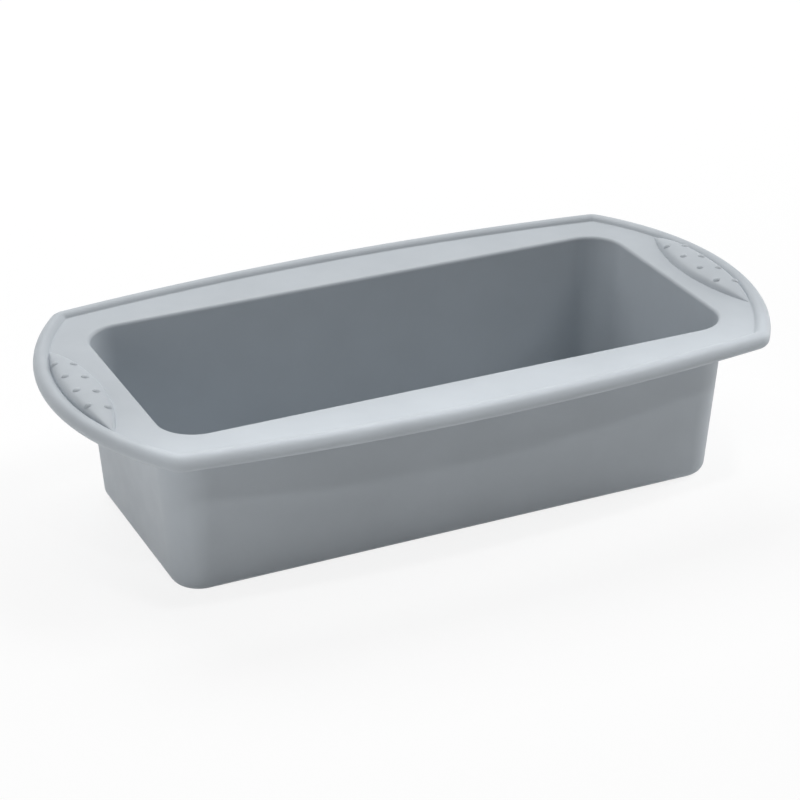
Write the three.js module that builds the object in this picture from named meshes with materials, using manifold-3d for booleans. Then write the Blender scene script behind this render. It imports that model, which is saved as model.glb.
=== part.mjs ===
// Silicone loaf pan with a wire-stiffened rim.
// Millimetres, +Z up, +X along the pan, origin on the table under the middle of the base.
import * as THREE from 'three';
import { mergeVertices } from 'three/addons/utils/BufferGeometryUtils.js';
import Module from 'manifold-3d';

// Tub: the cavity is measured at the top face of the flange, between the inner walls
const OPENING_LENGTH = 220;
const OPENING_WIDTH = 96;
const OPENING_CORNER_RADIUS = 13.8;
const OPENING_EDGE_RADIUS = 1.4;
const RIM_HEIGHT = 62.8;
const END_DRAFT = 4.35;
const SIDE_DRAFT = 5;
const WALL = 2.5;
const FLOOR = 2.5;
const FLOOR_CORNER_RADIUS = 8.3;
const FLOOR_EDGE_RADIUS = 3;
const BASE_EDGE_RADIUS = 4.5;

// Flange: its middle plane is RIM_HEIGHT above the table, and it reaches out from the inner walls
const FLANGE_THICKNESS = 2.5;
const FLANGE_ROOT_RADIUS = 2;
const SIDE_REACH = 26;
const END_REACH = 27.9;
const CORNER_REACH_ALONG = 4.4;
const CORNER_REACH_ACROSS = 17.9;
const FLANGE_CORNER_RADIUS = 1.2;

// Bead round the flange and the wire hoop moulded into it
const BEAD_DIAMETER = 6.2;
const WIRE_DIAMETER = 3;
const WIRE_CLEARANCE = 0.3;
const PIN_HOLE_DIAMETER = 2.4;

// Raised thumb grip on each ear, and the two rows of pimples on it
const GRIP_LENGTH = 69;
const GRIP_WIDTH = 14.1;
const GRIP_RISE = 2.9;
const GRIP_DOME = 0.35;
const GRIP_TAPER = 3;
const GRIP_SINK = 0.15;
const GRIP_SHOULDER = 18;
const PIMPLE_DIAMETER = 2.2;
const PIMPLE_RISE = 0.7;
const PIMPLE_PITCH = 12.3;
const PIMPLES_IN_ROW = 4;
const PIMPLE_SETBACK = 3.3;
const PIMPLE_ROW_SPACING = 6;
const PIMPLE_ROW_SHIFT = 3.4;

// Facets of the round stretches
const END_STEPS = 7;
const CORNER_STEPS = 6;
const SIDE_STEPS = 6;
const FILLET_STEPS = 4;
const BEAD_STEPS = 12;
const WIRE_SIDES = 10;
const PIN_HOLE_SIDES = 9;
const GRIP_STEPS = 16;
const GRIP_ARCH_STEPS = 12;
const PIMPLE_SIDES = 8;
const PIMPLE_RINGS = 6;

const FLANGE_TOP = RIM_HEIGHT + FLANGE_THICKNESS / 2;
const FLANGE_UNDERSIDE = RIM_HEIGHT - FLANGE_THICKNESS / 2;
const BEAD_RADIUS = BEAD_DIAMETER / 2;
const RIM_CORNER_RADIUS = FLANGE_CORNER_RADIUS + BEAD_DIAMETER;
const QUARTER_TURN = Math.PI / 2;

const wasm = await Module();
wasm.setup();

const silicone = new THREE.MeshStandardMaterial({ color: 0xadb3b9, roughness: 0.55, metalness: 0 });
const steel = new THREE.MeshStandardMaterial({ color: 0xb8babd, roughness: 0.35, metalness: 1 });

// Points from 0 to 1 in equal steps, both ends included
function fractions(steps) {
  return Array.from({ length: steps + 1 }, (_, i) => i / steps);
}

function arc(centre, radius, from, to, steps) {
  return fractions(steps).map((t) => {
    const angle = from + (to - from) * t;
    return new THREE.Vector2(centre.x + radius * Math.cos(angle), centre.y + radius * Math.sin(angle));
  });
}

function straight(from, to, steps) {
  return fractions(steps).map((t) => from.clone().lerp(to, t));
}

// Mirrors one quarter of an outline, from the +X axis to the +Y axis, into the whole closed outline
function closeQuarter(quarter) {
  const mirrored = (sx, sy) => quarter.map((p) => new THREE.Vector2(sx * p.x, sy * p.y));
  const quarters = [
    mirrored(1, 1),
    mirrored(-1, 1).reverse(),
    mirrored(-1, -1),
    mirrored(1, -1).reverse(),
  ];
  return quarters.flatMap((points) => points.slice(0, -1));
}

function joinStretches(end, corner, side) {
  return [...end, ...corner.slice(1), ...side.slice(1)];
}

// Rounded rectangle, as the tub is at any height
function tubOutline(halfLength, halfWidth, cornerRadius) {
  const centre = new THREE.Vector2(halfLength - cornerRadius, halfWidth - cornerRadius);
  const end = straight(new THREE.Vector2(halfLength, 0), new THREE.Vector2(halfLength, centre.y), END_STEPS);
  const corner = arc(centre, cornerRadius, 0, QUARTER_TURN, CORNER_STEPS);
  const side = straight(new THREE.Vector2(centre.x, halfWidth), new THREE.Vector2(0, halfWidth), SIDE_STEPS);
  return closeQuarter(joinStretches(end, corner, side));
}

// Circle through the point (0, apex) and the points (+-chord, edge) on either side of it
function bowRadius(apex, edge, chord) {
  const rise = apex - edge;
  return (chord * chord + rise * rise) / (2 * rise);
}

// The rim is a barrel: bowed long sides, rounder ears at the ends and a fillet where the two meet
const rim = (() => {
  const halfLength = OPENING_LENGTH / 2 + END_REACH;
  const halfWidth = OPENING_WIDTH / 2 + SIDE_REACH;
  const meetX = OPENING_LENGTH / 2 + CORNER_REACH_ALONG;
  const meetY = OPENING_WIDTH / 2 + CORNER_REACH_ACROSS;
  const endRadius = bowRadius(halfLength, meetX, meetY);
  const sideRadius = bowRadius(halfWidth, meetY, meetX);
  const endCentre = new THREE.Vector2(halfLength - endRadius, 0);
  const sideCentre = new THREE.Vector2(0, halfWidth - sideRadius);

  // The fillet lies inside both arcs and touches each of them
  const fromSide = sideRadius - RIM_CORNER_RADIUS;
  const fromEnd = endRadius - RIM_CORNER_RADIUS;
  const between = endCentre.clone().sub(sideCentre);
  const apart = between.length();
  const along = (apart * apart + fromSide * fromSide - fromEnd * fromEnd) / (2 * apart);
  const across = Math.sqrt(fromSide * fromSide - along * along);
  const direction = between.divideScalar(apart);
  const normal = new THREE.Vector2(direction.y, -direction.x);
  const cornerCentre = sideCentre.clone().addScaledVector(direction, along).addScaledVector(normal, across);
  const endAngle = cornerCentre.clone().sub(endCentre).angle();
  const sideAngle = cornerCentre.clone().sub(sideCentre).angle();
  return { endRadius, sideRadius, endCentre, sideCentre, cornerCentre, endAngle, sideAngle };
})();

// The rim's outline, moved outwards by an offset, or inwards where it is negative
function rimOutline(offset) {
  const end = arc(rim.endCentre, rim.endRadius + offset, 0, rim.endAngle, END_STEPS);
  const corner = arc(
    rim.cornerCentre, RIM_CORNER_RADIUS + offset, rim.endAngle, rim.sideAngle, CORNER_STEPS,
  );
  const side = arc(rim.sideCentre, rim.sideRadius + offset, rim.sideAngle, QUARTER_TURN, SIDE_STEPS);
  return closeQuarter(joinStretches(end, corner, side));
}

const lift = (outline, z) => outline.map((p) => new THREE.Vector3(p.x, p.y, z));

// Skin over a stack of rings with equal point counts. An open stack is closed by a fan at each end, and a
// looped stack joins its last ring to its first.
function loft(rings, looped) {
  const stations = rings[0].length;
  const positions = rings.flat().flatMap((p) => p.toArray());
  const indices = [];
  const strips = looped ? rings.length : rings.length - 1;
  for (let i = 0; i < strips; i += 1) {
    const low = i * stations;
    const high = ((i + 1) % rings.length) * stations;
    for (let j = 0; j < stations; j += 1) {
      const next = (j + 1) % stations;
      indices.push(low + j, high + j, high + next);
      indices.push(low + j, high + next, low + next);
    }
  }
  if (!looped) {
    const lastRing = (rings.length - 1) * stations;
    const firstCentre = positions.length / 3;
    for (const ring of [rings[0], rings.at(-1)]) {
      const centre = ring.reduce((sum, p) => sum.add(p), new THREE.Vector3()).divideScalar(stations);
      positions.push(...centre.toArray());
    }
    for (let j = 0; j < stations; j += 1) {
      const next = (j + 1) % stations;
      indices.push(firstCentre, j, next);
      indices.push(firstCentre + 1, lastRing + next, lastRing + j);
    }
  }
  const geometry = new THREE.BufferGeometry();
  geometry.setAttribute('position', new THREE.Float32BufferAttribute(positions, 3));
  geometry.setIndex(indices);
  return geometry;
}

function solid(geometry) {
  const bare = geometry.clone();
  bare.deleteAttribute('normal');
  bare.deleteAttribute('uv');
  const merged = mergeVertices(bare);
  const vertProperties = new Float32Array(merged.attributes.position.array);
  const triVerts = new Uint32Array(merged.index.array);
  return new wasm.Manifold(new wasm.Mesh({ numProp: 3, vertProperties, triVerts }));
}

function meshOf(manifold, name, material) {
  const { vertProperties, triVerts } = manifold.getMesh();
  const geometry = new THREE.BufferGeometry();
  geometry.setAttribute('position', new THREE.BufferAttribute(vertProperties, 3));
  geometry.setIndex(new THREE.BufferAttribute(triVerts, 1));
  geometry.computeVertexNormals();
  const mesh = new THREE.Mesh(geometry, material);
  mesh.name = name;
  return mesh;
}

// One drafted wall in section: its half size at a height, measured from the middle of the pan
function wallLine(halfAtTop, draftDegrees) {
  const slope = Math.tan(THREE.MathUtils.degToRad(draftDegrees));
  const half = (z) => halfAtTop - (FLANGE_TOP - z) * slope;
  return { half, slope, secant: Math.hypot(1, slope) };
}

const innerEnd = wallLine(OPENING_LENGTH / 2, END_DRAFT);
const innerSide = wallLine(OPENING_WIDTH / 2, SIDE_DRAFT);
const outerEnd = wallLine(OPENING_LENGTH / 2 + WALL, END_DRAFT);
const outerSide = wallLine(OPENING_WIDTH / 2 + WALL, SIDE_DRAFT);

// Half size where the wall turns in, by a radius, to a bottom face at z = bottom
function turnedIn(wall, bottom, radius, z) {
  const centre = wall.half(bottom + radius) - radius * wall.secant;
  const sweep = Math.sqrt(Math.max(0, radius * radius - (bottom + radius - z) ** 2));
  const onWall = z >= bottom + radius * (1 - wall.slope / wall.secant);
  return onWall ? wall.half(z) : centre + sweep;
}

// Half size where the wall turns out, by a radius, to a flange face at z = face
function turnedOut(wall, face, radius, z) {
  const centre = wall.half(face - radius) + radius * wall.secant;
  const sweep = Math.sqrt(Math.max(0, radius * radius - (z - face + radius) ** 2));
  const onWall = z <= face - radius * (1 - wall.slope / wall.secant);
  return onWall ? wall.half(z) : centre - sweep;
}

// Plan radius of the cavity's upright corners, which open out from the floor to the flange
function cavityCornerRadius(z) {
  return THREE.MathUtils.lerp(FLOOR_CORNER_RADIUS, OPENING_CORNER_RADIUS, z / FLANGE_TOP);
}

const MIN_CORNER_RADIUS = 0.5;

// One ring of the tub, from the half sizes that its long side and its end have at a height
function tubRing(halfLength, halfWidth, straightHalfWidth, cornerRadius, z) {
  const moved = halfWidth - straightHalfWidth;
  const radius = Math.max(MIN_CORNER_RADIUS, cornerRadius + moved);
  return lift(tubOutline(halfLength, halfWidth, radius), z);
}

function bottomRings(end, side, extraRadius, bottom, radius) {
  return fractions(FILLET_STEPS).map((t) => {
    const z = bottom + radius * (1 - Math.cos(t * QUARTER_TURN));
    const halfLength = turnedIn(end, bottom, radius, z);
    const halfWidth = turnedIn(side, bottom, radius, z);
    return tubRing(halfLength, halfWidth, side.half(z), cavityCornerRadius(z) + extraRadius, z);
  });
}

function topRings(end, side, extraRadius, face, radius) {
  return fractions(FILLET_STEPS).map((t) => {
    const z = face - radius * (1 - Math.sin(t * QUARTER_TURN));
    const halfLength = turnedOut(end, face, radius, z);
    const halfWidth = turnedOut(side, face, radius, z);
    return tubRing(halfLength, halfWidth, side.half(z), cavityCornerRadius(z) + extraRadius, z);
  });
}

// The bead's rings run from its foot on the flange's top face, over the outside, to its foot underneath
function beadRings() {
  const foot = Math.PI - Math.asin(FLANGE_THICKNESS / BEAD_DIAMETER);
  return fractions(BEAD_STEPS).map((t) => {
    const angle = foot * (1 - 2 * t);
    const offset = -BEAD_RADIUS + BEAD_RADIUS * Math.cos(angle);
    return lift(rimOutline(offset), RIM_HEIGHT + BEAD_RADIUS * Math.sin(angle));
  });
}

// The whole moulding in one skin: floor, inner walls, flange, bead, underside, outer walls and base
function shell() {
  const rings = [
    ...bottomRings(innerEnd, innerSide, 0, FLOOR, FLOOR_EDGE_RADIUS),
    ...topRings(innerEnd, innerSide, 0, FLANGE_TOP, OPENING_EDGE_RADIUS),
    ...beadRings(),
    ...topRings(outerEnd, outerSide, WALL, FLANGE_UNDERSIDE, FLANGE_ROOT_RADIUS).reverse(),
    ...bottomRings(outerEnd, outerSide, WALL, 0, BASE_EDGE_RADIUS).reverse(),
  ];
  return loft(rings, false);
}

// A round tube that follows the middle of the bead all the way round
function hoop(diameter) {
  const rings = Array.from({ length: WIRE_SIDES }, (_, i) => {
    const angle = -2 * Math.PI * (i / WIRE_SIDES);
    const offset = -BEAD_RADIUS + (diameter / 2) * Math.cos(angle);
    return lift(rimOutline(offset), RIM_HEIGHT + (diameter / 2) * Math.sin(angle));
  });
  return loft(rings, true);
}

// Holes under the bead, left by the pins that hold the wire in the mould: in each quarter of the rim one
// is under the ear, one by the corner and one near the middle of the long side
function pinHoles() {
  const middleLine = rimOutline(-BEAD_RADIUS);
  const quarter = middleLine.length / 4;
  const byCorner = END_STEPS + CORNER_STEPS + 1;
  const facets = [1, byCorner, quarter - 2];
  const mirroredFacets = facets.map((facet) => quarter - 1 - facet);
  const places = [facets, mirroredFacets, facets, mirroredFacets].flatMap((list, turn) => (
    list.map((facet) => turn * quarter + facet)
  ));
  return places.map((facet) => {
    const middle = middleLine[facet].clone().lerp(middleLine[facet + 1], 0.5);
    const hole = new THREE.CylinderGeometry(
      PIN_HOLE_DIAMETER / 2, PIN_HOLE_DIAMETER / 2, BEAD_DIAMETER, PIN_HOLE_SIDES,
    );
    hole.rotateX(QUARTER_TURN);
    hole.translate(middle.x, middle.y, RIM_HEIGHT - BEAD_RADIUS);
    return hole;
  });
}

// The grip is a lens in plan: its outer edge follows the bead, and its inner edge bows towards the tub
const grip = (() => {
  const halfLength = GRIP_LENGTH / 2;
  const outerRadius = rim.endRadius - BEAD_DIAMETER;
  const outer = (y) => rim.endCentre.x + Math.sqrt(outerRadius ** 2 - y ** 2);
  const innerApex = outer(0) - GRIP_WIDTH;
  const innerRadius = bowRadius(outer(halfLength), innerApex, halfLength);
  const inner = (y) => innerApex + innerRadius - Math.sqrt(innerRadius ** 2 - y ** 2);
  const middle = (y) => (inner(y) + outer(y)) / 2;
  const half = (y) => (outer(y) - inner(y)) / 2;

  // Height over the flange, from the place across the grip's width and along its length: the top is gently
  // domed and ends in a steep round shoulder
  const rise = (across, along) => {
    const crown = Math.max(0, 1 - Math.abs(along) ** GRIP_TAPER);
    const dome = 1 - GRIP_DOME * across ** 2;
    const shoulder = Math.max(0, 1 - Math.abs(across) ** GRIP_SHOULDER);
    return (GRIP_RISE + GRIP_SINK) * crown * dome * shoulder - GRIP_SINK;
  };
  return { halfLength, outer, middle, half, rise };
})();

// One grip on the +X ear: sections across it, sunk to the flange's middle plane, between two pointed tips
function gripPad() {
  const sections = fractions(GRIP_STEPS).slice(1, -1).map((t) => {
    const along = -Math.cos(t * Math.PI);
    const y = along * grip.halfLength;
    const arch = fractions(GRIP_ARCH_STEPS).map((u) => {
      const across = Math.cos(u * Math.PI);
      const z = FLANGE_TOP + grip.rise(across, along);
      return new THREE.Vector3(grip.middle(y) + grip.half(y) * across, y, z);
    });
    const sole = [-1, 1].map((side) => (
      new THREE.Vector3(grip.middle(y) + side * grip.half(y), y, RIM_HEIGHT)
    ));
    return [...arch, ...sole];
  });
  return loft(sections, false);
}

// Two straight rows of pimples, the inner one shifted along, each a squashed ball half sunk in the grip
function gripPimples() {
  const outerRow = grip.outer(0) - PIMPLE_SETBACK;
  const rows = [
    { x: outerRow, shift: -PIMPLE_ROW_SHIFT / 2 },
    { x: outerRow - PIMPLE_ROW_SPACING, shift: PIMPLE_ROW_SHIFT / 2 },
  ];
  const steps = Array.from({ length: PIMPLES_IN_ROW }, (_, i) => i - (PIMPLES_IN_ROW - 1) / 2);
  return rows.flatMap(({ x, shift }) => steps.map((step) => {
    const y = PIMPLE_PITCH * step + shift;
    const across = (x - grip.middle(y)) / grip.half(y);
    const pimple = new THREE.SphereGeometry(1, PIMPLE_SIDES, PIMPLE_RINGS);
    pimple.rotateX(QUARTER_TURN);
    pimple.scale(PIMPLE_DIAMETER / 2, PIMPLE_DIAMETER / 2, PIMPLE_RISE);
    pimple.translate(x, y, FLANGE_TOP + grip.rise(across, y / grip.halfLength));
    return pimple;
  }));
}

function panBody() {
  let body = solid(shell());
  for (const piece of [gripPad(), ...gripPimples()]) {
    const oppositeEar = piece.clone().rotateZ(Math.PI);
    body = body.add(solid(piece)).add(solid(oppositeEar));
  }
  body = body.subtract(solid(hoop(WIRE_DIAMETER + 2 * WIRE_CLEARANCE)));
  for (const hole of pinHoles()) {
    body = body.subtract(solid(hole));
  }
  return meshOf(body, 'pan_body', silicone);
}

function rimFrame() {
  return meshOf(solid(hoop(WIRE_DIAMETER)), 'rim_frame', steel);
}

const loafPan = new THREE.Group();
loafPan.add(panBody());
loafPan.add(rimFrame());

export default loafPan;
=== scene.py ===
"""Silicone loaf pan: a grey moulding with a wire in its rim and pimpled thumb grips, on a white table"""

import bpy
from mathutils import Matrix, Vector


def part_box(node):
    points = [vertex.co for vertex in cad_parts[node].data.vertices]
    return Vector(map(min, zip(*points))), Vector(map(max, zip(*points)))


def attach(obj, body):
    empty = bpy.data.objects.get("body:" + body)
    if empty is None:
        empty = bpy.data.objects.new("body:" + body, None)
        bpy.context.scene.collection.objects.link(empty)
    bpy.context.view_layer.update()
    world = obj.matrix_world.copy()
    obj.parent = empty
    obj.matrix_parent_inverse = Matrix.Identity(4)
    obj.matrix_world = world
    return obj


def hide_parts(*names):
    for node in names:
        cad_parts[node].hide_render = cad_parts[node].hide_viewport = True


bl_info = {
    "name": "Silicone Loaf Pan",
    "version": (1, 0, 0),
    "blender": (4, 5, 0),
    "location": "View3D > Sidebar > Loaf Pan",
    "description": "Makes a silicone loaf pan, the wire in its rim and a plain white studio",
    "category": "Object",
}

import math

import bpy
import numpy as np
from bpy.props import FloatProperty, FloatVectorProperty, IntProperty, PointerProperty
from mathutils import Matrix, Vector

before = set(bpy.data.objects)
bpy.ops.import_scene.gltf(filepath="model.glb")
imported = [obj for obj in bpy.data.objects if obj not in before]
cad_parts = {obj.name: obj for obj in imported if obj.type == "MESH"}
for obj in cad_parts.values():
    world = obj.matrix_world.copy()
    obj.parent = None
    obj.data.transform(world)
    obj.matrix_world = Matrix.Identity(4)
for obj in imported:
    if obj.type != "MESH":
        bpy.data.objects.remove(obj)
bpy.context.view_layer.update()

MM = 0.001
QUARTER_TURN = math.pi / 2
PAN_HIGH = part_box("pan_body")[1]
HOOP_LOW, HOOP_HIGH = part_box("rim_frame")

# Facets in a quarter of the rim's outline
END_STEPS = 64
CORNER_STEPS = 12
SIDE_STEPS = 32

# The tub's outline has as many, with more of them round its corners, so that the flange's lines fan out
TUB_END_STEPS = 40
TUB_SIDE_STEPS = 27
TUB_CORNER_STEPS = END_STEPS + CORNER_STEPS + SIDE_STEPS - TUB_END_STEPS - TUB_SIDE_STEPS

# Facets of the moulding's section, of the grips and of the small round parts
FILLET_STEPS = 9
WALL_STEPS = 12
FLANGE_STEPS = 16
UNDERSIDE_STEPS = 10
BEAD_STEPS = 48
FOOT_STEPS = 5
FLOOR_RINGS = 5
GRIP_STEPS = 96
GRIP_ARCH_STEPS = 48
PIN_HOLE_SIDES = 24
PIMPLE_SIDES = 48
WIRE_SIDES = 20

# How fine each finish is broken up, and the part of its range that a noise mostly keeps to
CLOUD_DETAIL = 4.0
ROUGHNESS_DETAIL = 5.0
WAVE_DETAIL = 1.0
GRAIN_DETAIL = 2.0
STREAK_DETAIL = 3.0
NOISE_LOW, NOISE_HIGH = 0.3, 0.7


# Settings

def length(name, description, default):
    return FloatProperty(
        name=name, description=description, default=default, min=0.0, precision=5,
        subtype="DISTANCE", unit="LENGTH",
    )


def angle(name, description, degrees):
    return FloatProperty(
        name=name, description=description, default=math.radians(degrees),
        subtype="ANGLE", unit="ROTATION",
    )


def share(name, description, default):
    return FloatProperty(
        name=name, description=description, default=default, min=0.0, max=1.0, subtype="FACTOR",
    )


def number(name, description, default):
    return FloatProperty(name=name, description=description, default=default, min=0.0)


def colour(name, description, default):
    return FloatVectorProperty(
        name=name, description=description, default=default, size=3, min=0.0, max=1.0, subtype="COLOR",
    )


class LoafPanTub(bpy.types.PropertyGroup):
    """Sizes of the tub, whose opening is measured at the flange's top face, between the inner walls"""

    opening_length: length("Opening length", "Length between the inner end walls", 220 * MM)
    opening_width: length("Opening width", "Width between the inner side walls", 96 * MM)
    opening_corner: length("Opening corner", "Plan radius of the opening's corners", 13.8 * MM)
    opening_edge: length("Opening edge", "Radius where the inner wall rolls into the flange", 1.4 * MM)
    end_draft: angle("End draft", "Lean of the end walls", 4.35)
    side_draft: angle("Side draft", "Lean of the long walls", 5.0)
    wall: length("Wall", "Thickness of the walls", 2.5 * MM)
    floor: length("Floor", "Thickness of the floor", 2.5 * MM)
    floor_corner: length("Floor corner", "Plan radius of the cavity's corners at the table", 8.3 * MM)
    floor_edge: length("Floor edge", "Radius between the inner walls and the floor", 3 * MM)
    base_edge: length("Base edge", "Radius between the outer walls and the base", 4.5 * MM)


class LoafPanRim(bpy.types.PropertyGroup):
    """Sizes of the flange, the bead round it and the wire inside the bead"""

    length: length("Rim length", "Length over the ears", 2 * PAN_HIGH.x)
    width: length("Rim width", "Width over the bowed long sides", 2 * PAN_HIGH.y)
    height: length("Rim height", "Height of the flange's middle plane", (HOOP_LOW.z + HOOP_HIGH.z) / 2)
    flange_thickness: length("Flange thickness", "Thickness of the flange", 2.5 * MM)
    root_radius: length("Root radius", "Radius between the outer walls and the flange", 2 * MM)
    corner_along: length("Corner along", "Reach of the rim's corners past the opening's end", 4.4 * MM)
    corner_across: length("Corner across", "Reach of those corners past the opening's side", 17.9 * MM)
    flange_corner: length("Flange corner", "Plan radius of the rim's corners inside the bead", 1.2 * MM)
    bead_diameter: length("Bead diameter", "Thickness of the round bead", 6.2 * MM)
    bead_foot: length("Bead foot", "Radius between the bead and the flange", 0.8 * MM)
    wire_diameter: length("Wire diameter", "Thickness of the hoop in the bead", 3 * MM)
    wire_clearance: length("Wire clearance", "Room round the hoop in its channel", 0.3 * MM)
    pin_hole: length("Pin hole", "Width of the mould pins' holes under the bead", 2.4 * MM)


class LoafPanGrip(bpy.types.PropertyGroup):
    """Sizes of the raised thumb grip on each ear and of its pimples"""

    length: length("Grip length", "Length between the grip's pointed tips", 71 * MM)
    width: length("Grip width", "Width at the grip's middle", 14.6 * MM)
    overlap: length("Grip overlap", "How far the grip's outer edge runs into the bead's side", 0.5 * MM)
    rise: length("Grip rise", "Height of the grip's crown over the flange", 3.3 * MM)
    sink: length("Grip sink", "How far the grip's edge lies under the flange's top", 0.15 * MM)
    dome: share("Dome", "Part of the rise that the domed top loses towards its inner edge", 0.4)
    lean: share("Lean", "Part of the half width by which the crown lies towards the bead", 0.1)
    shoulder: number("Shoulder", "Steepness of the grip's sides", 8.0)
    taper: number("Taper", "How late the grip falls off towards its tips", 3.5)
    pimple_diameter: length("Pimple diameter", "Width of a pimple", 2.8 * MM)
    pimple_rise: length("Pimple rise", "Height of a pimple over the grip", 0.7 * MM)
    pimple_pitch: length("Pimple pitch", "Distance between the pimples of a row", 12.3 * MM)
    pimples_in_row: IntProperty(name="Pimples in a row", description="Count of a row", default=4, min=1)
    pimple_setback: length("Pimple setback", "Distance from the grip's outer edge to a row", 3.8 * MM)
    row_spacing: length("Row spacing", "Distance between the two rows", 6 * MM)
    row_shift: length("Row shift", "How far the inner row is moved along against the outer one", 3.4 * MM)


class LoafPanSilicone(bpy.types.PropertyGroup):
    """Finish of the matte grey silicone"""

    tint: colour("Colour", "Main colour of the silicone", (0.486, 0.525, 0.562))
    shade: colour("Shade", "Tone of the faint clouds in the silicone", (0.458, 0.495, 0.530))
    roughness: share("Roughness", "Middle of the roughness", 0.5)
    roughness_spread: share("Roughness spread", "How far the roughness wanders", 0.05)
    roughness_size: length("Roughness size", "Size of the patches of other roughness", 7.5 * MM)
    cloud_size: length("Cloud size", "Size of the faint clouds", 30 * MM)
    grain_size: length("Grain size", "Size of the mould's fine grain", 0.35 * MM)
    grain_depth: length("Grain depth", "Depth of the mould's fine grain", 0.012 * MM)
    wave_size: length("Wave size", "Size of the soft waves in the surface", 24 * MM)
    wave_depth: length("Wave depth", "Depth of the soft waves in the surface", 0.03 * MM)
    ior: number("Refraction", "Index of refraction of silicone", 1.41)


class LoafPanWire(bpy.types.PropertyGroup):
    """Finish of the drawn stainless wire"""

    tint: colour("Colour", "Colour of the steel", (0.48, 0.49, 0.5))
    streak: colour("Streak", "Tone of the drawing streaks", (0.36, 0.37, 0.38))
    roughness: share("Roughness", "Middle of the roughness", 0.32)
    roughness_spread: share("Roughness spread", "How far the roughness wanders", 0.08)
    streak_length: length("Streak length", "Length of a drawing streak along the wire", 18 * MM)
    streak_width: length("Streak width", "Width of a drawing streak", 0.3 * MM)
    streak_depth: length("Streak depth", "Depth of a drawing streak", 0.01 * MM)


class LoafPanStudio(bpy.types.PropertyGroup):
    """The camera, the table and the soft lights"""

    heading: angle("Camera heading", "Turn of the view from +Y towards +X", 25.0788)
    pitch: angle("Camera pitch", "How far the view looks down", 26.3242)
    roll: angle("Camera roll", "Turn of the picture", -0.1229)
    distance: length("Camera distance", "Distance from the camera to the point it aims at", 937.85 * MM)
    aim: FloatVectorProperty(
        name="Camera aim", description="Point that the camera aims at", size=3,
        subtype="XYZ", unit="LENGTH", default=(3.37 * MM, 13.39 * MM, 27.39 * MM),
    )
    lens: number("Lens", "Focal length in millimetres on a 36 mm sensor", 111.404)
    table: colour("Table", "Colour of the table for the light that it throws back", (0.9, 0.9, 0.9))
    table_glow: share("Table glow", "Part of the table's white that no shadow takes away", 0.85)
    over_back: number("Softbox above and behind", "Power in watts", 18.5)
    high_right: number("Softbox high on the right", "Power in watts", 58.7)
    low_right: number("Softbox low on the right", "Power in watts", 50.8)
    left: number("Panel on the left", "Power in watts", 5.8)
    front_left: number("Panel in front and left", "Power in watts", 2.9)
    high_strip: number("High strip on the near bead", "Power in watts", 0.011)
    low_strip: number("Low strip on the near bead", "Power in watts", 0.0047)


class LoafPanSettings(bpy.types.PropertyGroup):
    """All the settings of the loaf pan"""

    tub: PointerProperty(type=LoafPanTub)
    rim: PointerProperty(type=LoafPanRim)
    grip: PointerProperty(type=LoafPanGrip)
    silicone: PointerProperty(type=LoafPanSilicone)
    wire: PointerProperty(type=LoafPanWire)
    studio: PointerProperty(type=LoafPanStudio)


# Outlines in plan

def fractions(count):
    """Even steps from 0 to 1"""
    return np.linspace(0.0, 1.0, count + 1)


def eased(count):
    """Fractions that crowd towards both ends, for a flat stretch between two round ones"""
    return (1 - np.cos(math.pi * fractions(count))) / 2


def arc(centre, radius, start, end, count):
    turn = start + (end - start) * fractions(count)
    return np.asarray(centre) + radius * np.column_stack((np.cos(turn), np.sin(turn)))


def straight(start, end, count):
    along = fractions(count)[:, None]
    return np.asarray(start) * (1 - along) + np.asarray(end) * along


def join_stretches(*stretches):
    """One line of stretches that each start where the last one ends"""
    return np.vstack([stretches[0]] + [stretch[1:] for stretch in stretches[1:]])


def close_quarter(quarter):
    """Mirrors one quarter of an outline, from the +X axis to the +Y axis, into the whole outline"""
    quarters = [
        quarter,
        (quarter * (-1, 1))[::-1],
        quarter * (-1, -1),
        (quarter * (1, -1))[::-1],
    ]
    return np.vstack([points[:-1] for points in quarters])


def tub_outline(half_length, half_width, corner):
    """Rounded rectangle, as the tub is at any height"""
    centre = (half_length - corner, half_width - corner)
    return close_quarter(join_stretches(
        straight((half_length, 0), (half_length, centre[1]), TUB_END_STEPS),
        arc(centre, corner, 0, QUARTER_TURN, TUB_CORNER_STEPS),
        straight((centre[0], half_width), (0, half_width), TUB_SIDE_STEPS),
    ))


def bow_radius(apex, edge, chord):
    """Radius of the circle through an apex and the two points a chord to either side, at an edge"""
    rise = apex - edge
    return (chord * chord + rise * rise) / (2 * rise)


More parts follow.
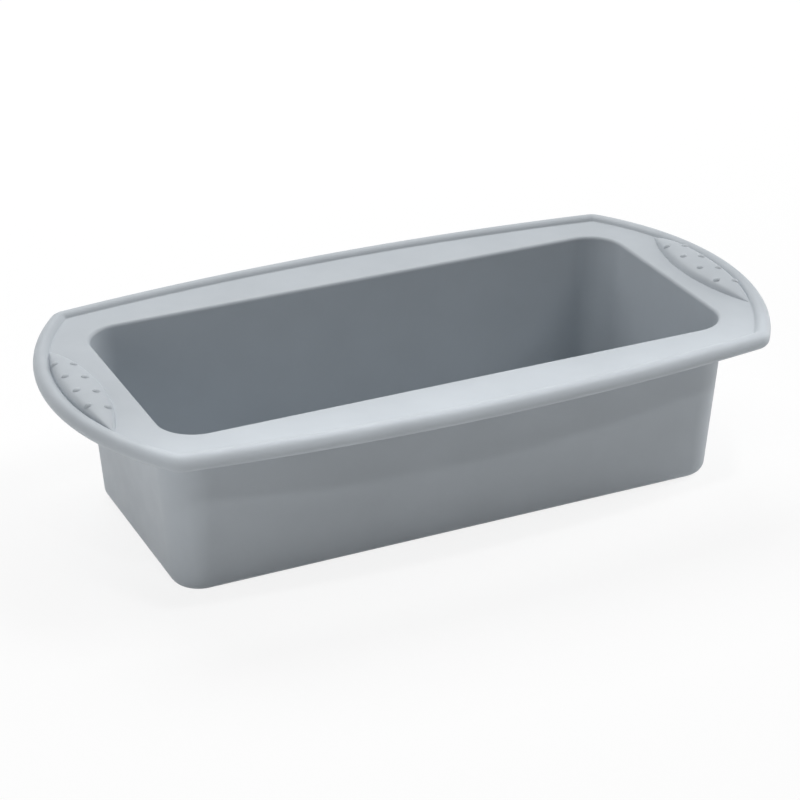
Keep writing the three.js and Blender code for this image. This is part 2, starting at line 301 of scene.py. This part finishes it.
class RimPlan:
    """The rim in plan: a barrel of bowed long sides, rounder ears and a fillet where the two meet"""

    def __init__(self, pan):
        tub, rim = pan.tub, pan.rim
        meet_x = tub.opening_length / 2 + rim.corner_along
        meet_y = tub.opening_width / 2 + rim.corner_across
        self.end_radius = bow_radius(rim.length / 2, meet_x, meet_y)
        self.side_radius = bow_radius(rim.width / 2, meet_y, meet_x)
        self.end_centre = Vector((rim.length / 2 - self.end_radius, 0))
        self.side_centre = Vector((0, rim.width / 2 - self.side_radius))
        self.corner_radius = rim.flange_corner + rim.bead_diameter

        # The fillet lies inside both arcs and touches each of them
        from_side = self.side_radius - self.corner_radius
        from_end = self.end_radius - self.corner_radius
        between = self.end_centre - self.side_centre
        apart = between.length
        along = (apart ** 2 + from_side ** 2 - from_end ** 2) / (2 * apart)
        across = math.sqrt(from_side ** 2 - along ** 2)
        direction = between / apart
        normal = Vector((direction.y, -direction.x))
        self.corner_centre = self.side_centre + direction * along + normal * across
        to_end = self.corner_centre - self.end_centre
        to_side = self.corner_centre - self.side_centre
        self.end_angle = math.atan2(to_end.y, to_end.x)
        self.side_angle = math.atan2(to_side.y, to_side.x)

    def outline(self, offset):
        """The rim's outline moved outwards by an offset, or inwards where it is negative"""
        end, corner, side = (
            radius + offset for radius in (self.end_radius, self.corner_radius, self.side_radius)
        )
        return close_quarter(join_stretches(
            arc(self.end_centre, end, 0, self.end_angle, END_STEPS),
            arc(self.corner_centre, corner, self.end_angle, self.side_angle, CORNER_STEPS),
            arc(self.side_centre, side, self.side_angle, QUARTER_TURN, SIDE_STEPS),
        ))

    def pin_places(self, offset):
        """Places of the mould pins: in each quarter one under the ear and two under the long side"""
        end_share, side_shares = 3 / 14, (1 / 4, 3 / 4)
        side_turn = QUARTER_TURN - self.side_angle
        turns = [(self.end_centre, self.end_radius, self.end_angle * end_share)]
        turns += [
            (self.side_centre, self.side_radius, self.side_angle + side_turn * part)
            for part in side_shares
        ]
        quarter = [
            (centre.x + (radius + offset) * math.cos(turn), centre.y + (radius + offset) * math.sin(turn))
            for centre, radius, turn in turns
        ]
        return [(sx * x, sy * y) for x, y in quarter for sx in (1, -1) for sy in (1, -1)]


class GripPlan:
    """The thumb grip: a lens in plan between the bead and the tub, with a dome and soft shoulders"""

    def __init__(self, pan, rim_plan):
        self.grip = pan.grip
        self.half_length = pan.grip.length / 2
        self.centre_x = rim_plan.end_centre.x
        self.outer_radius = rim_plan.end_radius - pan.rim.bead_diameter + pan.grip.overlap
        self.inner_apex = self.outer(0) - pan.grip.width
        self.inner_radius = bow_radius(self.outer(self.half_length), self.inner_apex, self.half_length)

    def outer(self, y):
        return self.centre_x + np.sqrt(self.outer_radius ** 2 - y ** 2)

    def inner(self, y):
        return self.inner_apex + self.inner_radius - np.sqrt(self.inner_radius ** 2 - y ** 2)

    def rise(self, across, along):
        """Height over the flange, from the place across the grip's width and along its length"""
        grip = self.grip
        crown = 1 - np.abs(along) ** grip.taper
        dome = 1 - grip.dome * np.square((across - grip.lean) / (1 + grip.lean))
        shoulder = 1 - np.abs(across) ** grip.shoulder
        return (grip.rise + grip.sink) * crown * dome * shoulder - grip.sink

    def height(self, x, y):
        """Height over the flange at a place on either ear"""
        middle, half = self.middle_and_half(y)
        return self.rise((np.abs(x) - middle) / half, y / self.half_length)

    def middle_and_half(self, y):
        return (self.inner(y) + self.outer(y)) / 2, (self.outer(y) - self.inner(y)) / 2

    def rings(self, top, sole):
        """Sections across the grip of the +X ear, from tip to tip, each closed by a flat sole"""
        across = np.cos(math.pi * fractions(GRIP_ARCH_STEPS))
        rings = []
        for along in -np.cos(math.pi * fractions(GRIP_STEPS))[1:-1]:
            y = along * self.half_length
            middle, half = self.middle_and_half(y)
            arch = np.column_stack((
                middle + half * across, np.full(len(across), y), top + self.rise(across, along),
            ))
            ends = [(middle - half, y, sole), (middle + half, y, sole)]
            rings.append(np.vstack((arch, ends)))
        return rings

    def facing(self, x, y):
        """Upward normal of the grip at a place"""
        step = 0.05 * MM
        slope_x = (self.height(x + step, y) - self.height(x - step, y)) / (2 * step)
        slope_y = (self.height(x, y + step) - self.height(x, y - step)) / (2 * step)
        return Vector((-slope_x, -slope_y, 1)).normalized()

    def pimple_places(self):
        """Two straight rows on each ear, one moved along; the -X ear is the +X ear after a half turn"""
        grip = self.grip
        outer_row = self.outer(0) - grip.pimple_setback
        rows = [(outer_row, -grip.row_shift / 2), (outer_row - grip.row_spacing, grip.row_shift / 2)]
        first = -(grip.pimples_in_row - 1) / 2
        places = [
            (x, grip.pimple_pitch * (first + step) + shift)
            for x, shift in rows for step in range(grip.pimples_in_row)
        ]
        return places + [(-x, -y) for x, y in places]


# The moulding's section

def flange_top(pan):
    """Height of the flange's top face"""
    return pan.rim.height + pan.rim.flange_thickness / 2


class Wall:
    """One drafted wall in section: its half size at a height, also where it rounds into floor or flange"""

    def __init__(self, half_at_top, top, draft):
        self.half_at_top = half_at_top
        self.top = top
        self.slope = math.tan(draft)
        self.secant = math.hypot(1, self.slope)

    def half(self, z):
        return self.half_at_top - (self.top - z) * self.slope

    def turned_in(self, bottom, radius, z):
        """Half size where the wall turns in, by a radius, to a face at the bottom"""
        if z >= bottom + radius * (1 - self.slope / self.secant):
            return self.half(z)
        centre = self.half(bottom + radius) - radius * self.secant
        return centre + math.sqrt(max(0.0, radius ** 2 - (bottom + radius - z) ** 2))

    def turned_out(self, face, radius, z):
        """Half size where the wall turns out, by a radius, to a flange's face"""
        if z <= face - radius * (1 - self.slope / self.secant):
            return self.half(z)
        centre = self.half(face - radius) + radius * self.secant
        return centre - math.sqrt(max(0.0, radius ** 2 - (z - face + radius) ** 2))


class TubSection:
    """Rings of one face of the tub, inner or outer, from its bottom edge to the flange"""

    def __init__(self, pan, outwards, bottom, bottom_radius, face, top_radius):
        tub, top = pan.tub, flange_top(pan)
        self.end = Wall(tub.opening_length / 2 + outwards, top, tub.end_draft)
        self.side = Wall(tub.opening_width / 2 + outwards, top, tub.side_draft)
        self.low_corner = tub.floor_corner + outwards
        self.corner_growth = (tub.opening_corner - tub.floor_corner) / top
        self.bottom, self.bottom_radius = bottom, bottom_radius
        self.face, self.top_radius = face, top_radius

    def corner(self, z):
        """Plan radius where two walls meet, at a height"""
        return self.low_corner + self.corner_growth * z

    def ring(self, half_length, half_width, z):
        smallest_corner = 0.5 * MM
        corner = max(smallest_corner, self.corner(z) + half_width - self.side.half(z))
        return ring_at(tub_outline(half_length, half_width, corner), z)

    def rings(self):
        bottom_z = self.bottom + self.bottom_radius * (1 - np.cos(QUARTER_TURN * fractions(FILLET_STEPS)))
        top_z = self.face - self.top_radius * (1 - np.sin(QUARTER_TURN * fractions(FILLET_STEPS)))
        wall_z = bottom_z[-1] + (top_z[0] - bottom_z[-1]) * eased(WALL_STEPS)[1:-1]
        turned_in = [
            self.ring(
                self.end.turned_in(self.bottom, self.bottom_radius, z),
                self.side.turned_in(self.bottom, self.bottom_radius, z), z,
            ) for z in bottom_z
        ]
        upright = [self.ring(self.end.half(z), self.side.half(z), z) for z in wall_z]
        turned_out = [
            self.ring(
                self.end.turned_out(self.face, self.top_radius, z),
                self.side.turned_out(self.face, self.top_radius, z), z,
            ) for z in top_z
        ]
        return turned_in + upright + turned_out


def ring_at(outline, z):
    return np.column_stack((outline, np.full(len(outline), z)))


def flat_rings(start, end, shares):
    return [start * (1 - part) + end * part for part in shares]


def bead_rings(pan, rim_plan):
    """The bead, from its hollow foot on the flange, over the outside, to its foot underneath"""
    rim = pan.rim
    radius, half_flange, foot = rim.bead_diameter / 2, rim.flange_thickness / 2, rim.bead_foot
    foot_x = -math.sqrt((radius + foot) ** 2 - (half_flange + foot) ** 2)
    touch = math.atan2(half_flange + foot, foot_x)
    hollow = arc((foot_x, half_flange + foot), foot, -QUARTER_TURN, touch - math.pi, FOOT_STEPS)
    bead = arc((0, 0), radius, touch, -touch, BEAD_STEPS)
    section = join_stretches(hollow, bead, (hollow * (1, -1))[::-1])
    return [ring_at(rim_plan.outline(x - radius), rim.height + z) for x, z in section]


def moulding_rings(pan, rim_plan):
    """The whole skin: floor, inner walls, flange, bead, underside, outer walls and base"""
    tub, rim = pan.tub, pan.rim
    underside = rim.height - rim.flange_thickness / 2
    inside = TubSection(pan, 0, tub.floor, tub.floor_edge, flange_top(pan), tub.opening_edge).rings()
    outside = TubSection(pan, tub.wall, 0, tub.base_edge, underside, rim.root_radius).rings()
    bead = bead_rings(pan, rim_plan)
    over = flat_rings(inside[-1], bead[0], fractions(FLANGE_STEPS)[1:-1])
    under = flat_rings(bead[-1], outside[-1], eased(UNDERSIDE_STEPS)[1:-1])
    inwards = fractions(FLOOR_RINGS)[1:-1][::-1]
    floor = [inside[0] * (1 - part, 1 - part, 1) for part in inwards]
    base = [outside[0] * (1 - part, 1 - part, 1) for part in inwards[::-1]]
    return floor + inside + over + bead + under + outside[::-1] + base


def skin(name, rings):
    """Mesh over a stack of rings, closed by a fan at each end"""
    stations = len(rings[0])
    points = np.vstack(rings + [rings[0].mean(axis=0), rings[-1].mean(axis=0)])
    here = np.arange(stations)
    after = np.roll(here, -1)
    faces = []
    for low in range(0, (len(rings) - 1) * stations, stations):
        high = low + stations
        faces += np.column_stack((low + here, high + here, high + after, low + after)).tolist()
    last = (len(rings) - 1) * stations
    first_centre = len(rings) * stations
    faces += np.column_stack((np.full(stations, first_centre), here, after)).tolist()
    faces += np.column_stack((np.full(stations, first_centre + 1), last + after, last + here)).tolist()
    mesh = bpy.data.meshes.new(name)
    mesh.from_pydata(points.tolist(), [], faces)
    return mesh


# Objects, modifiers and node trees

def add_object(name, data):
    made = bpy.data.objects.new(name, data)
    bpy.context.scene.collection.objects.link(made)
    return made


def combine(body, other, operation):
    """Joins another object to a body, or cuts it from the body, and removes the other object"""
    modifier = body.modifiers.new(operation.lower(), "BOOLEAN")
    modifier.operation = operation
    modifier.solver = "MANIFOLD"
    modifier.object = other
    bake_modifiers(body)
    bpy.data.objects.remove(other)


def bake_modifiers(made):
    """Turns what the modifiers give into the object's plain mesh"""
    evaluated = made.evaluated_get(bpy.context.evaluated_depsgraph_get())
    mesh = bpy.data.meshes.new_from_object(evaluated)
    made.modifiers.clear()
    made.data = mesh
    mesh.name = made.name


def add_node(tree, kind, inputs=None, **settings):
    """A node with its settings and its inputs' values, or the sockets that they are linked from"""
    node = tree.nodes.new(kind)
    for key, value in settings.items():
        setattr(node, key, value)
    for key, value in (inputs or {}).items():
        if isinstance(value, bpy.types.NodeSocket):
            tree.links.new(value, node.inputs[key])
        else:
            node.inputs[key].default_value = value
    return node


def geometry_tree(name, inputs):
    """A geometry node tree with named inputs; returns it and the node that gives the inputs"""
    tree = bpy.data.node_groups.new(name, "GeometryNodeTree")
    tree.interface.new_socket("Geometry", in_out="INPUT", socket_type="NodeSocketGeometry")
    for label, socket_type in inputs.items():
        tree.interface.new_socket(label, in_out="INPUT", socket_type=socket_type)
    tree.interface.new_socket("Geometry", in_out="OUTPUT", socket_type="NodeSocketGeometry")
    return tree, tree.nodes.new("NodeGroupInput")


def end_tree(tree, geometry, material):
    """Ends a tree in plain faces with a material"""
    real = add_node(tree, "GeometryNodeRealizeInstances", {"Geometry": geometry})
    smooth = add_node(tree, "GeometryNodeSetShadeSmooth", {"Geometry": real.outputs["Geometry"]})
    painted = add_node(
        tree, "GeometryNodeSetMaterial", {"Geometry": smooth.outputs["Geometry"], "Material": material},
    )
    add_node(tree, "NodeGroupOutput", {"Geometry": painted.outputs["Geometry"]})


def run_tree(made, tree, values):
    """Runs a node tree on an object and keeps the result as its mesh"""
    modifier = made.modifiers.new(tree.name, "NODES")
    modifier.node_group = tree
    for item in tree.interface.items_tree:
        if item.in_out == "INPUT" and item.name in values:
            modifier[item.identifier] = values[item.name]
    bake_modifiers(made)


def point_cloud(name, points, facing=None):
    """A mesh of loose points, with a direction at each where one is given"""
    mesh = bpy.data.meshes.new(name)
    mesh.from_pydata([tuple(point) for point in points], [], [])
    if facing:
        attribute = mesh.attributes.new("facing", "FLOAT_VECTOR", "POINT")
        attribute.data.foreach_set("vector", [part for normal in facing for part in normal])
    return add_object(name, mesh)


def pimple_tree():
    """A ball at each point, sunk along the grip's normal so that only a low cap shows"""
    tree, given = geometry_tree("pimples", {
        "Radius": "NodeSocketFloat", "Sink": "NodeSocketFloat", "Sides": "NodeSocketInt",
        "Material": "NodeSocketMaterial",
    })
    rings = add_node(tree, "ShaderNodeMath", {0: given.outputs["Sides"], 1: 2.0}, operation="DIVIDE")
    ball = add_node(tree, "GeometryNodeMeshUVSphere", {
        "Segments": given.outputs["Sides"], "Rings": rings.outputs[0], "Radius": given.outputs["Radius"],
    })
    down = add_node(tree, "ShaderNodeMath", {0: given.outputs["Sink"], 1: -1.0}, operation="MULTIPLY")
    place = add_node(tree, "ShaderNodeCombineXYZ", {"Z": down.outputs[0]})
    pimple = add_node(tree, "GeometryNodeTransform", {
        "Geometry": ball.outputs["Mesh"], "Translation": place.outputs[0],
    })
    facing = add_node(
        tree, "GeometryNodeInputNamedAttribute", {"Name": "facing"}, data_type="FLOAT_VECTOR",
    )
    turn = add_node(
        tree, "FunctionNodeAlignRotationToVector", {"Vector": facing.outputs["Attribute"]}, axis="Z",
    )
    placed = add_node(tree, "GeometryNodeInstanceOnPoints", {
        "Points": given.outputs["Geometry"], "Instance": pimple.outputs["Geometry"],
        "Rotation": turn.outputs["Rotation"],
    })
    end_tree(tree, placed.outputs["Instances"], given.outputs["Material"])
    return tree


def pin_tree():
    """A round pin at each point"""
    tree, given = geometry_tree("mould_pins", {
        "Radius": "NodeSocketFloat", "Depth": "NodeSocketFloat", "Sides": "NodeSocketInt",
        "Material": "NodeSocketMaterial",
    })
    pin = add_node(tree, "GeometryNodeMeshCylinder", {
        "Vertices": given.outputs["Sides"], "Radius": given.outputs["Radius"],
        "Depth": given.outputs["Depth"],
    })
    placed = add_node(tree, "GeometryNodeInstanceOnPoints", {
        "Points": given.outputs["Geometry"], "Instance": pin.outputs["Mesh"],
    })
    end_tree(tree, placed.outputs["Instances"], given.outputs["Material"])
    return tree


def wire_tree():
    """A round wire along a loop of edges, which keeps the place along and around it for the finish"""
    tree, given = geometry_tree("rim_wire", {
        "Radius": "NodeSocketFloat", "Sides": "NodeSocketInt", "Material": "NodeSocketMaterial",
    })
    path = add_node(tree, "GeometryNodeMeshToCurve", {"Mesh": given.outputs["Geometry"]})
    circle = add_node(tree, "GeometryNodeCurvePrimitiveCircle", {
        "Resolution": given.outputs["Sides"], "Radius": given.outputs["Radius"],
    })
    place = add_node(tree, "GeometryNodeSplineParameter")
    along = add_node(tree, "GeometryNodeStoreNamedAttribute", {
        "Geometry": path.outputs["Curve"], "Name": "along", "Value": place.outputs["Length"],
    })
    around = add_node(tree, "GeometryNodeStoreNamedAttribute", {
        "Geometry": circle.outputs["Curve"], "Name": "around", "Value": place.outputs["Length"],
    })
    swept = add_node(tree, "GeometryNodeCurveToMesh", {
        "Curve": along.outputs["Geometry"], "Profile Curve": around.outputs["Geometry"],
    })
    end_tree(tree, swept.outputs["Mesh"], given.outputs["Material"])
    return tree


# Details of the moulding

def add_pimples(pan, grip_plan, material):
    """The rows of pimples on the two thumb grips"""
    places = grip_plan.pimple_places()
    points = [(x, y, flange_top(pan) + grip_plan.height(x, y)) for x, y in places]
    pimples = point_cloud("grip_pimples", points, [grip_plan.facing(x, y) for x, y in places])
    half, rise = pan.grip.pimple_diameter / 2, pan.grip.pimple_rise
    ball_radius = (half ** 2 + rise ** 2) / (2 * rise)
    run_tree(pimples, pimple_tree(), {
        "Radius": ball_radius, "Sink": ball_radius - rise, "Sides": PIMPLE_SIDES, "Material": material,
    })
    return pimples


def add_mould_pins(pan, rim_plan, material):
    """The pins that hold the wire in the mould, and leave their holes under the bead"""
    rim = pan.rim
    radius = rim.bead_diameter / 2
    places = [(x, y, rim.height - radius) for x, y in rim_plan.pin_places(-radius)]
    pins = point_cloud("mould_pins", places)
    run_tree(pins, pin_tree(), {
        "Radius": rim.pin_hole / 2, "Depth": rim.bead_diameter, "Sides": PIN_HOLE_SIDES,
        "Material": material,
    })
    return pins


def add_hoop(name, pan, rim_plan, diameter, material):
    """A round hoop along the middle of the bead"""
    line = ring_at(rim_plan.outline(-pan.rim.bead_diameter / 2), pan.rim.height)
    mesh = bpy.data.meshes.new(name)
    loop = [(here, (here + 1) % len(line)) for here in range(len(line))]
    mesh.from_pydata(line.tolist(), loop, [])
    hoop = add_object(name, mesh)
    run_tree(hoop, wire_tree(), {"Radius": diameter / 2, "Sides": WIRE_SIDES, "Material": material})
    return hoop


# Finishes

def new_material(name):
    """A material with a bare Principled shader; returns it, its tree and the shader"""
    material = bpy.data.materials.new(name)
    material.use_nodes = True
    tree = material.node_tree
    tree.nodes.clear()
    shader = add_node(tree, "ShaderNodeBsdfPrincipled")
    add_node(tree, "ShaderNodeOutputMaterial", {"Surface": shader.outputs["BSDF"]})
    return material, tree, shader


def noise(tree, place, size, detail):
    """Soft random values over a surface, with patches of about a size"""
    return add_node(
        tree, "ShaderNodeTexNoise", {"Vector": place, "Scale": 1 / size, "Detail": detail},
    ).outputs["Fac"]


def spread(tree, value, low, high):
    """Brings a noise, which keeps near its middle, to a range"""
    return add_node(tree, "ShaderNodeMapRange", {
        "Value": value, "From Min": NOISE_LOW, "From Max": NOISE_HIGH, "To Min": low, "To Max": high,
    }).outputs["Result"]


def wander(tree, value, finish):
    """Roughness that follows a noise to either side of its middle"""
    low, high = finish.roughness - finish.roughness_spread, finish.roughness + finish.roughness_spread
    return spread(tree, value, low, high)


def bump(tree, height, depth, under=None):
    """Normal of a surface that is raised by a height, on top of another bump where one is given"""
    inputs = {"Height": height, "Strength": 1.0, "Distance": depth}
    if under:
        inputs["Normal"] = under
    return add_node(tree, "ShaderNodeBump", inputs).outputs["Normal"]


def two_tones(tree, factor, tint, shade):
    """Colour between a tint and a shade"""
    mix = add_node(tree, "ShaderNodeMix", data_type="RGBA")
    tree.links.new(factor, mix.inputs["Factor"])
    colours = [socket for socket in mix.inputs if socket.type == "RGBA"]
    for socket, tone in zip(colours, (tint, shade)):
        socket.default_value = (*tone, 1.0)
    return [socket for socket in mix.outputs if socket.type == "RGBA"][0]


def silicone_material(pan):
    """Matte silicone: faint clouds of colour, a wandering roughness, the mould's grain and soft waves"""
    finish = pan.silicone
    material, tree, shader = new_material("grey_silicone")
    place = add_node(tree, "ShaderNodeTexCoord").outputs["Object"]
    clouds = spread(tree, noise(tree, place, finish.cloud_size, CLOUD_DETAIL), 0.0, 1.0)
    tree.links.new(two_tones(tree, clouds, finish.tint, finish.shade), shader.inputs["Base Color"])
    patches = noise(tree, place, finish.roughness_size, ROUGHNESS_DETAIL)
    tree.links.new(wander(tree, patches, finish), shader.inputs["Roughness"])
    waves = bump(tree, noise(tree, place, finish.wave_size, WAVE_DETAIL), finish.wave_depth)
    grain = bump(tree, noise(tree, place, finish.grain_size, GRAIN_DETAIL), finish.grain_depth, waves)
    tree.links.new(grain, shader.inputs["Normal"])
    shader.inputs["IOR"].default_value = finish.ior
    return material


def wire_material(pan):
    """Drawn steel: streaks that run along the wire"""
    finish = pan.wire
    material, tree, shader = new_material("drawn_steel")
    along = add_node(tree, "ShaderNodeAttribute", attribute_name="along").outputs["Fac"]
    around = add_node(tree, "ShaderNodeAttribute", attribute_name="around").outputs["Fac"]
    squeeze = finish.streak_width / finish.streak_length
    lengthways = add_node(tree, "ShaderNodeMath", {0: along, 1: squeeze}, operation="MULTIPLY")
    place = add_node(tree, "ShaderNodeCombineXYZ", {"X": lengthways.outputs[0], "Y": around})
    streaks = noise(tree, place.outputs[0], finish.streak_width, STREAK_DETAIL)
    tones = spread(tree, streaks, 0.0, 1.0)
    tree.links.new(two_tones(tree, tones, finish.tint, finish.streak), shader.inputs["Base Color"])
    tree.links.new(wander(tree, streaks, finish), shader.inputs["Roughness"])
    tree.links.new(bump(tree, streaks, finish.streak_depth), shader.inputs["Normal"])
    shader.inputs["Metallic"].default_value = 1.0
    return material


def seen_rays(tree):
    """1 for the rays that show the white of the studio: the camera's, and reflections of it"""
    path = add_node(tree, "ShaderNodeLightPath")
    mirrored = add_node(
        tree, "ShaderNodeMath",
        {0: path.outputs["Is Glossy Ray"], 1: path.outputs["Is Transmission Ray"]}, operation="MAXIMUM",
    )
    seen = add_node(
        tree, "ShaderNodeMath",
        {0: path.outputs["Is Camera Ray"], 1: mirrored.outputs[0]}, operation="MAXIMUM",
    )
    return seen.outputs[0]


def table_material(pan):
    """White table: it throws light back as a pale surface, and shows white with the pan's shadow on it"""
    studio = pan.studio
    material = bpy.data.materials.new("white_table")
    material.use_nodes = True
    tree = material.node_tree
    tree.nodes.clear()
    pale = add_node(tree, "ShaderNodeBsdfDiffuse", {"Color": (*studio.table, 1.0)})
    shadowed = 1 - studio.table_glow
    catcher = add_node(tree, "ShaderNodeBsdfDiffuse", {"Color": (shadowed, shadowed, shadowed, 1.0)})
    glow = add_node(tree, "ShaderNodeEmission", {"Color": (1, 1, 1, 1), "Strength": studio.table_glow})
    white = add_node(tree, "ShaderNodeAddShader", {
        0: catcher.outputs["BSDF"], 1: glow.outputs["Emission"],
    })
    shown = add_node(tree, "ShaderNodeMixShader", {
        0: seen_rays(tree), 1: pale.outputs["BSDF"], 2: white.outputs["Shader"],
    })
    add_node(tree, "ShaderNodeOutputMaterial", {"Surface": shown.outputs["Shader"]})
    return material


# The studio

def set_world():
    """White all round for the eye and for reflections; the lights alone light the pan"""
    world = bpy.data.worlds.new("white_room")
    bpy.context.scene.world = world
    world.use_nodes = True
    tree = world.node_tree
    tree.nodes.clear()
    dark = add_node(tree, "ShaderNodeBackground", {"Color": (0, 0, 0, 1)})
    white = add_node(tree, "ShaderNodeBackground", {"Color": (1, 1, 1, 1), "Strength": 1.0})
    shown = add_node(tree, "ShaderNodeMixShader", {
        0: seen_rays(tree), 1: dark.outputs["Background"], 2: white.outputs["Background"],
    })
    add_node(tree, "ShaderNodeOutputWorld", {"Surface": shown.outputs["Shader"]})


def add_panel_light(name, watts, place, size, aim):
    """A soft rectangular light that faces a point"""
    light = bpy.data.lights.new(name, "AREA")
    light.shape = "RECTANGLE"
    light.size, light.size_y = size
    light.energy = watts
    made = add_object(name, light)
    made.location = place
    made.rotation_euler = (Vector(aim) - made.location).to_track_quat("-Z", "Y").to_euler()
    made.visible_camera = False
    return light


def add_lights(pan):
    """Soft panels round the pan, each with its place and size, and two strips over the near bead"""
    studio = pan.studio
    panels = {
        "over_back": ((0.0, 0.9, 1.4), (1.4, 1.0)),
        "high_right": ((2.4, -0.6, 3.4), (1.6, 1.6)),
        "low_right": ((3.9, 0.3, 1.4), (1.6, 1.6)),
        "left": ((-1.7, -0.1, 0.6), (1.2, 1.0)),
        "front_left": ((-1.3, -1.0, 0.5), (1.0, 0.8)),
    }
    pan_middle = (0, 0, HOOP_LOW.z / 2)
    for name, (place, size) in panels.items():
        add_panel_light("panel_" + name, getattr(studio, name), place, size, pan_middle)

    # The strips' narrow beams keep to the near bead and its flange
    strips = {
        "high_strip": ((0.0, -0.18, 0.5), math.radians(10)),
        "low_strip": ((0.0, -0.42, 0.48), math.radians(8)),
    }
    strip_size = (0.3, 0.03)
    near_bead = (0, pan.rim.bead_diameter - pan.rim.width / 2, pan.rim.height)
    for name, (place, spread_angle) in strips.items():
        add_panel_light(name, getattr(studio, name), place, strip_size, near_bead).spread = spread_angle


def add_camera(pan):
    """The camera of the photograph's view"""
    studio = pan.studio
    heading, pitch, roll = studio.heading, studio.pitch, studio.roll
    forward = Vector((
        math.sin(heading) * math.cos(pitch), math.cos(heading) * math.cos(pitch), -math.sin(pitch),
    ))
    level_right = Vector((math.cos(heading), -math.sin(heading), 0))
    level_up = level_right.cross(forward)
    right = level_right * math.cos(roll) + level_up * math.sin(roll)
    up = right.cross(forward)
    camera = bpy.data.cameras.new("photo_camera")
    camera.lens = studio.lens
    made = add_object("photo_camera", camera)
    made.location = Vector(studio.aim) - forward * studio.distance
    made.rotation_euler = Matrix((right, up, -forward)).transposed().to_euler()
    bpy.context.scene.camera = made


def add_table(pan):
    """A flat table top, a hair under the pan's base"""
    half_size, drop = 4.0, 0.2 * MM
    mesh = bpy.data.meshes.new("table_top")
    corners = [(-1, -1), (1, -1), (1, 1), (-1, 1)]
    points = [(half_size * x, half_size * y, -drop) for x, y in corners]
    mesh.from_pydata(points, [], [(0, 1, 2, 3)])
    mesh.materials.append(table_material(pan))
    add_object("table_top", mesh)


# Operators

class LOAFPAN_OT_studio(bpy.types.Operator):
    """Set the camera, the white table and the soft lights"""

    bl_idname = "loaf_pan.studio"
    bl_label = "Studio"

    def execute(self, context):
        pan = context.scene.loaf_pan
        context.scene.view_settings.view_transform = "Standard"
        set_world()
        add_table(pan)
        add_lights(pan)
        add_camera(pan)
        return {"FINISHED"}


class LOAFPAN_OT_moulding(bpy.types.Operator):
    """Make the silicone moulding: tub, flange, bead, and pimpled grips, with the wire's channel"""

    bl_idname = "loaf_pan.moulding"
    bl_label = "Silicone moulding"

    def execute(self, context):
        pan = context.scene.loaf_pan
        rim = pan.rim
        rim_plan = RimPlan(pan)
        silicone = silicone_material(pan)
        body = add_object("silicone_moulding", skin("silicone_moulding", moulding_rings(pan, rim_plan)))
        body.data.materials.append(silicone)
        body.data.shade_smooth()

        grip_plan = GripPlan(pan, rim_plan)
        grip_rings = grip_plan.rings(flange_top(pan), rim.height)
        for name, turned in (("right_grip", 1), ("left_grip", -1)):
            mesh = skin(name, [ring * (turned, turned, 1) for ring in grip_rings])
            mesh.materials.append(silicone)
            mesh.shade_smooth()
            combine(body, add_object(name, mesh), "UNION")

        combine(body, add_pimples(pan, grip_plan, silicone), "UNION")
        channel_diameter = rim.wire_diameter + 2 * rim.wire_clearance
        channel = add_hoop("wire_channel", pan, rim_plan, channel_diameter, silicone)
        combine(body, channel, "DIFFERENCE")
        combine(body, add_mould_pins(pan, rim_plan, silicone), "DIFFERENCE")
        crease = math.radians(40)
        body.data.set_sharp_from_angle(angle=crease)

        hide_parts("pan_body")
        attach(body, "root")
        return {"FINISHED"}


class LOAFPAN_OT_wire(bpy.types.Operator):
    """Lay the steel wire hoop that stiffens the rim, inside the bead"""

    bl_idname = "loaf_pan.wire"
    bl_label = "Rim wire"

    def execute(self, context):
        pan = context.scene.loaf_pan
        wire = add_hoop("rim_wire", pan, RimPlan(pan), pan.rim.wire_diameter, wire_material(pan))
        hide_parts("rim_frame")
        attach(wire, "root")
        return {"FINISHED"}


class LOAFPAN_PT_sidebar(bpy.types.Panel):
    """Lists the pan's settings and the steps that make it"""

    bl_idname = "LOAFPAN_PT_sidebar"
    bl_label = "Loaf Pan"
    bl_space_type = "VIEW_3D"
    bl_region_type = "UI"
    bl_category = "Loaf Pan"

    def draw(self, context):
        pan = context.scene.loaf_pan
        for part in LoafPanSettings.__annotations__:
            box = self.layout.box()
            box.label(text=part.title())
            group = getattr(pan, part)
            for name in type(group).__annotations__:
                box.prop(group, name)
        for operator in OPERATORS:
            self.layout.operator(operator.bl_idname)


OPERATORS = (LOAFPAN_OT_studio, LOAFPAN_OT_moulding, LOAFPAN_OT_wire)
SETTINGS = (
    LoafPanTub, LoafPanRim, LoafPanGrip, LoafPanSilicone, LoafPanWire, LoafPanStudio, LoafPanSettings,
)
CLASSES = (*SETTINGS, *OPERATORS, LOAFPAN_PT_sidebar)


def register():
    for each in CLASSES:
        bpy.utils.register_class(each)
    bpy.types.Scene.loaf_pan = PointerProperty(type=LoafPanSettings)


def unregister():
    del bpy.types.Scene.loaf_pan
    for each in reversed(CLASSES):
        bpy.utils.unregister_class(each)


def main():
    register()
    bpy.ops.loaf_pan.studio()
    bpy.ops.loaf_pan.moulding()
    bpy.ops.loaf_pan.wire()


if __name__ == "__main__":
    main()
